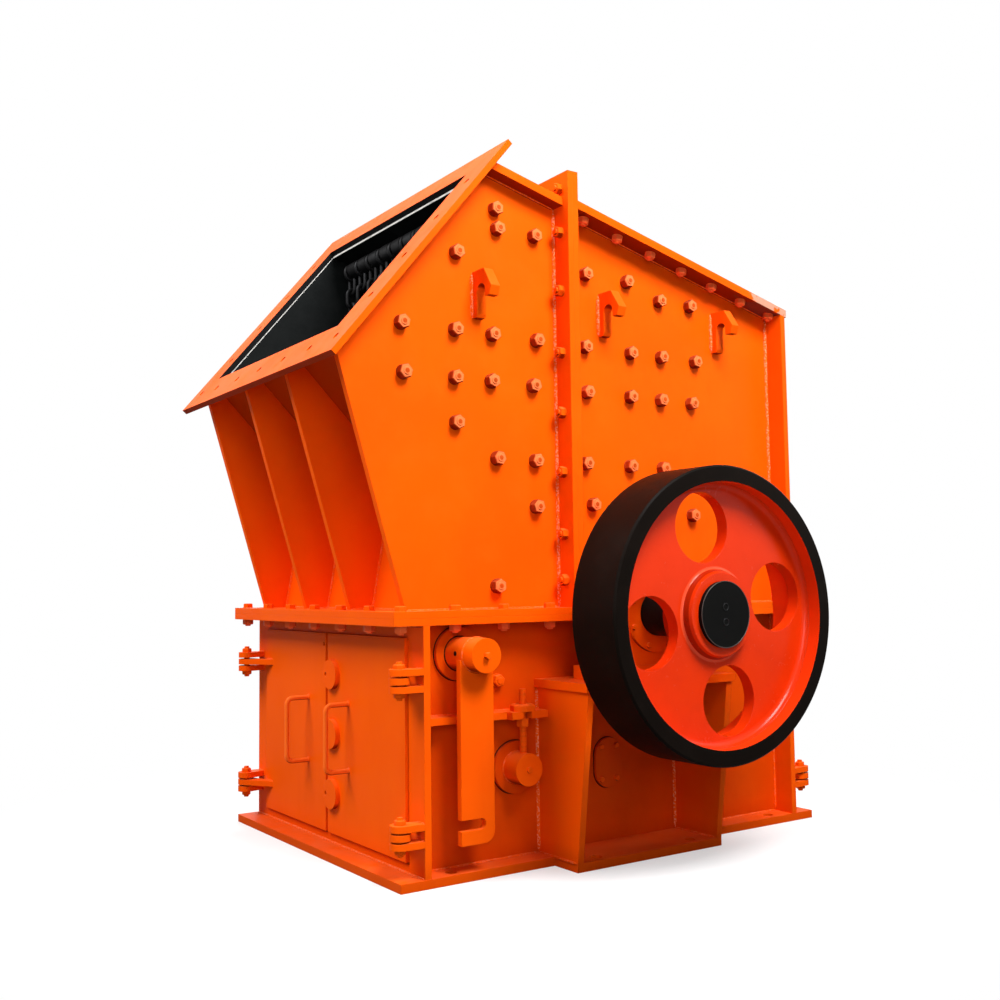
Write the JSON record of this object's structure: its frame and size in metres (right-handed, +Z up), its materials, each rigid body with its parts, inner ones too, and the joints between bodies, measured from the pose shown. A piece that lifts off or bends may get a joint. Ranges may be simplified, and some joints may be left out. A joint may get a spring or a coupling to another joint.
{
  "type": "hammer crusher",
  "caption": "Box-type hammer crusher with a split steel housing, sloping feed mouth with chain curtain, hinged front doors, turning rotor and belt wheels.",
  "frame": {"origin": "middle of the overall box, on the floor under the base plate", "axes": "+X from the feed end to the rear, -Y to the flywheel side, +Z up"},
  "size_m": [2.218, 2.482, 2.5661],
  "materials": {
    "orange_paint": "satin enamel",
    "red_paint": "gloss enamel",
    "black_paint": "satin",
    "liner_steel": "worn black",
    "rotor_steel": "bare"
  },
  "bodies": {
    "housing": {"base_frame": "orange_paint", "side_wall_near": "orange_paint", "side_wall_far": "orange_paint", "front_end_plate": "orange_paint", "rear_end_plate": "orange_paint", "lower_flange_front": "orange_paint", "lower_flange_rear": "orange_paint", "upper_flange_front": "orange_paint", "upper_flange_rear": "orange_paint", "pedestal_near": "orange_paint", "pedestal_far": "orange_paint", "bearing_near": "orange_paint", "bearing_far": "orange_paint", "upper_side_near": "orange_paint", "upper_side_far": "orange_paint", "rib_near": "orange_paint", "rib_far": "orange_paint", "front_wall": "orange_paint", "chute_floor": "orange_paint", "feed_flange": "orange_paint", "front_roof": "orange_paint", "split_flange_front": "orange_paint", "split_flange_rear": "orange_paint", "rear_side_near": "orange_paint", "rear_side_far": "orange_paint", "rear_roof": "orange_paint", "rear_wall": "orange_paint", "lifting_lugs_near": "orange_paint", "lifting_lugs_far": "orange_paint", "liner_near": "liner_steel", "liner_far": "liner_steel", "roof_liner": "liner_steel", "chute_liner": "liner_steel", "chain_curtain": "rotor_steel", "front_hinges": "orange_paint", "rear_doors": "orange_paint", "rear_hinges": "orange_paint", "adjuster_near": "orange_paint", "adjuster_far": "orange_paint", "bracket_near": "orange_paint", "bracket_far": "orange_paint"},
    "rotor": {"rotor": "rotor_steel", "hammers": "rotor_steel", "wheel_rim_near": "black_paint", "wheel_web_near": "red_paint", "shaft_cap_near": "black_paint", "wheel_rim_far": "black_paint", "wheel_web_far": "red_paint", "shaft_cap_far": "black_paint"},
    "door_left": {"door_left": "orange_paint", "handle_left": "orange_paint"},
    "door_right": {"door_right": "orange_paint", "handle_right": "orange_paint", "latch_discs": "orange_paint"},
    "cross_lever": {"cross_lever": "orange_paint"}
  },
  "joints": [
    {"name": "rotor_spin", "type": "hinge", "parent": "housing", "child": "rotor", "pos_m": [0.093, 0, 0.872], "axis": [0, 1, 0], "continuous": true},
    {"name": "door_right_swing", "type": "hinge", "parent": "housing", "child": "door_right", "pos_m": [-0.84, -0.662, 0.433], "axis": [0, 0, 1], "range_deg": [0, 105]},
    {"name": "door_left_swing", "type": "hinge", "parent": "housing", "child": "door_left", "pos_m": [-0.84, 0.662, 0.433], "axis": [0, 0, -1], "range_deg": [0, 105]},
    {"name": "lever_swing", "type": "hinge", "parent": "housing", "child": "cross_lever", "pos_m": [-0.585, 0, 0.747], "axis": [0, 1, 0], "range_deg": [-24, 40]}
  ]
}
